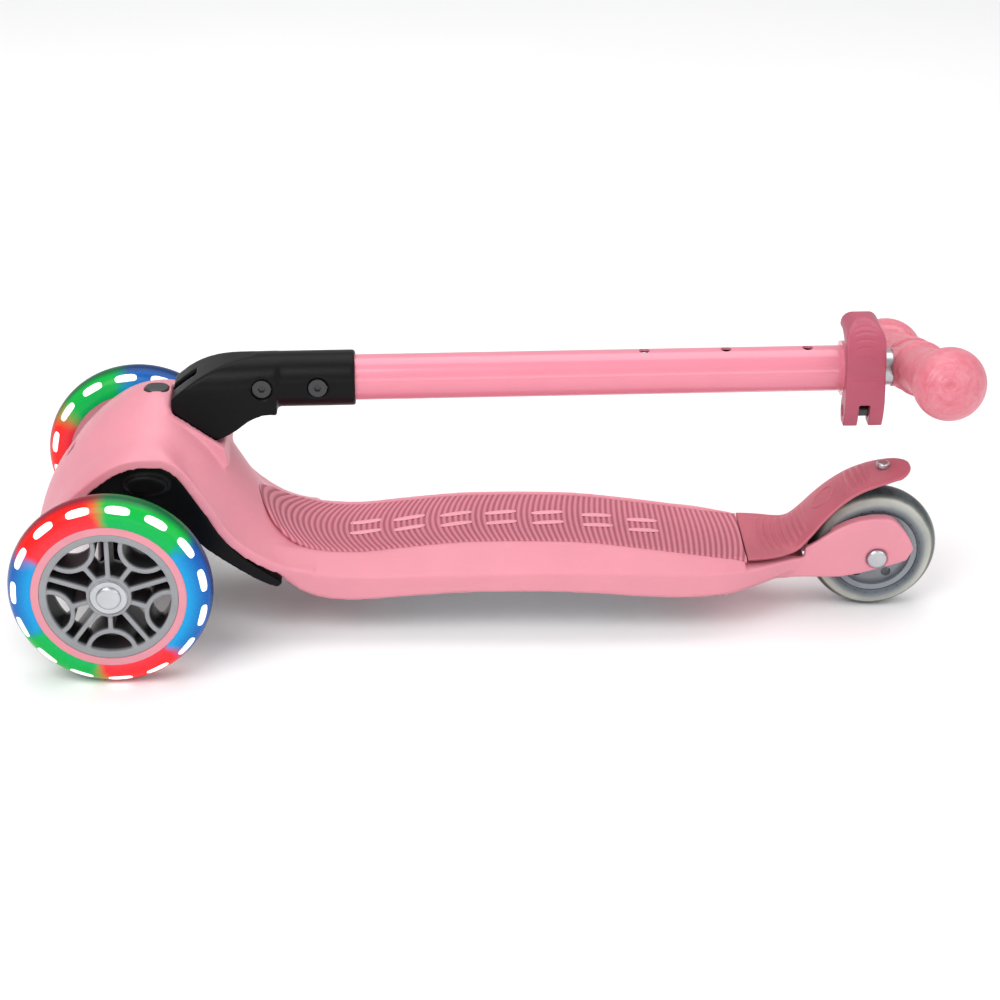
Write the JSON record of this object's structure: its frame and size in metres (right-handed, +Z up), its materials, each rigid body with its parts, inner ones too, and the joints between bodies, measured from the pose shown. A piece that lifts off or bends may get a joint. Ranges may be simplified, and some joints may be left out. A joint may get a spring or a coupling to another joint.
{
  "type": "folding kick scooter",
  "caption": "Folding child's kick scooter with two light-up front wheels, one small rear wheel, a foot brake and a ball-ended handlebar folded over its deck.",
  "frame": {"origin": "on the ground, at the bottom centre of the folded scooter's box", "axes": "+X towards the rear wheel, +Y to the rider's right, +Z up; the rest pose is the folded one"},
  "size_m": [0.5708, 0.2348, 0.214],
  "materials": {
    "deck_pink": "satin moulded",
    "mat_rose": "soft matte, ridged",
    "tube_pink": "gloss paint",
    "lever_rose": "soft satin",
    "grip_pink": "slightly translucent, swirled",
    "black_plastic": "satin moulded",
    "button_grey": "satin",
    "steel": "zinc plated",
    "black_steel": "black",
    "chrome": "polished",
    "aluminium": "satin",
    "rubber": "matte",
    "light_tyre": "clear polyurethane lit red, green and blue",
    "light_white": "glowing light bars",
    "band_pink": "satin",
    "core_grey": "satin",
    "clear_tyre": "clear polyurethane",
    "core_smoke": "satin"
  },
  "bodies": {
    "deck": {"deck_frame": "deck_pink", "deck_mat": "mat_rose", "deck_plate": "steel", "plate_screws": "steel", "truck_housing": "black_plastic", "neck_bracket": "steel", "bracket_screws": "steel", "hinge_pin": "steel", "button_spring": "steel", "kingpin": "steel", "kingpin_washer": "steel", "kingpin_nut": "steel", "rear_spacers": "aluminium", "rear_axle_bolt": "chrome", "rear_axle_nut": "chrome", "brake_pin": "steel", "brake_spring": "steel"},
    "fold_button": {"fold_button": "button_grey"},
    "stem": {"sleeve_left": "black_plastic", "sleeve_right": "black_plastic", "sleeve_bolts": "black_steel", "sleeve_nuts": "black_steel", "stem_tube": "tube_pink", "clamp_collar": "tube_pink", "clamp_skewer": "chrome", "clamp_nut": "chrome", "clamp_barrel": "black_steel"},
    "clamp_lever": {"clamp_lever": "lever_rose"},
    "bar_bush": {"bar_bush": "black_plastic"},
    "handlebar": {"inner_tube": "chrome", "bar_core": "steel", "bar_tee": "grip_pink", "grip_left": "grip_pink", "grip_right": "grip_pink", "pin_spring": "steel"},
    "height_pin": {"height_pin": "chrome"},
    "front_truck": {"truck_beam": "black_plastic", "steer_bushes": "rubber", "front_axle_left": "chrome", "front_axle_right": "chrome"},
    "front_wheel_left": {"front_tyre_left": "light_tyre", "front_lights_left": "light_white", "front_band_left": "band_pink", "front_core_left": "core_grey", "front_bearings_left": "steel", "front_magnet_left": "steel"},
    "front_wheel_right": {"front_tyre_right": "light_tyre", "front_lights_right": "light_white", "front_band_right": "band_pink", "front_core_right": "core_grey", "front_bearings_right": "steel", "front_magnet_right": "steel"},
    "rear_wheel": {"rear_tyre": "clear_tyre", "rear_core": "core_smoke", "rear_bearings": "steel"},
    "foot_brake": {"fender": "mat_rose", "brake_plate": "steel", "brake_rivet": "chrome"}
  },
  "joints": [
    {"name": "fold_hinge", "type": "hinge", "parent": "deck", "child": "stem", "pos_m": [-0.1648, 0, 0.1458], "axis": [0, -1, 0], "range_deg": [0, 84]},
    {"name": "fold_button_press", "type": "slide", "parent": "deck", "child": "fold_button", "axis": [0, 0, -1], "range_m": [0, 0.003], "stiffness_N_per_m": 400, "springref_m": -0.002, "deforming": ["button_spring"]},
    {"name": "clamp_lever_open", "type": "hinge", "parent": "stem", "child": "clamp_lever", "pos_m": [0.2282, -0.0195, 0.14196], "axis": [0.9997, 0, 0.0236], "range_deg": [0, 95]},
    {"name": "bar_turn", "type": "hinge", "parent": "stem", "child": "bar_bush", "pos_m": [0.22093, 0, 0.16179], "axis": [0.9997, 0, 0.0236], "range_deg": [-27, 62]},
    {"name": "bar_height", "type": "slide", "parent": "bar_bush", "child": "handlebar", "axis": [0.9997, 0, 0.0236], "range_m": [0, 0.1]},
    {"name": "height_pin_press", "type": "slide", "parent": "handlebar", "child": "height_pin", "axis": [0.0225, -0.294, -0.9555], "range_m": [0, 0.002], "stiffness_N_per_m": 500, "springref_m": -0.002, "deforming": ["pin_spring"]},
    {"name": "lean_steer", "type": "hinge", "parent": "deck", "child": "front_truck", "pos_m": [-0.224, 0, 0.0605], "axis": [-0.5736, 0, 0.8192], "range_deg": [-8, 8], "stiffness_Nm_per_rad": 12},
    {"name": "front_spin_left", "type": "hinge", "parent": "front_truck", "child": "front_wheel_left", "pos_m": [-0.224, -0.0968, 0.0605], "axis": [0, 1, 0], "continuous": true},
    {"name": "front_spin_right", "type": "hinge", "parent": "front_truck", "child": "front_wheel_right", "pos_m": [-0.224, 0.0968, 0.0605], "axis": [0, 1, 0], "continuous": true},
    {"name": "rear_spin", "type": "hinge", "parent": "deck", "child": "rear_wheel", "pos_m": [0.2457, 0, 0.0406], "axis": [0, 1, 0], "continuous": true},
    {"name": "brake_press", "type": "hinge", "parent": "deck", "child": "foot_brake", "pos_m": [0.174, 0, 0.0365], "axis": [0, 1, 0], "range_deg": [0, 3], "stiffness_Nm_per_rad": 2.5, "springref_deg": -8.59}
  ]
}
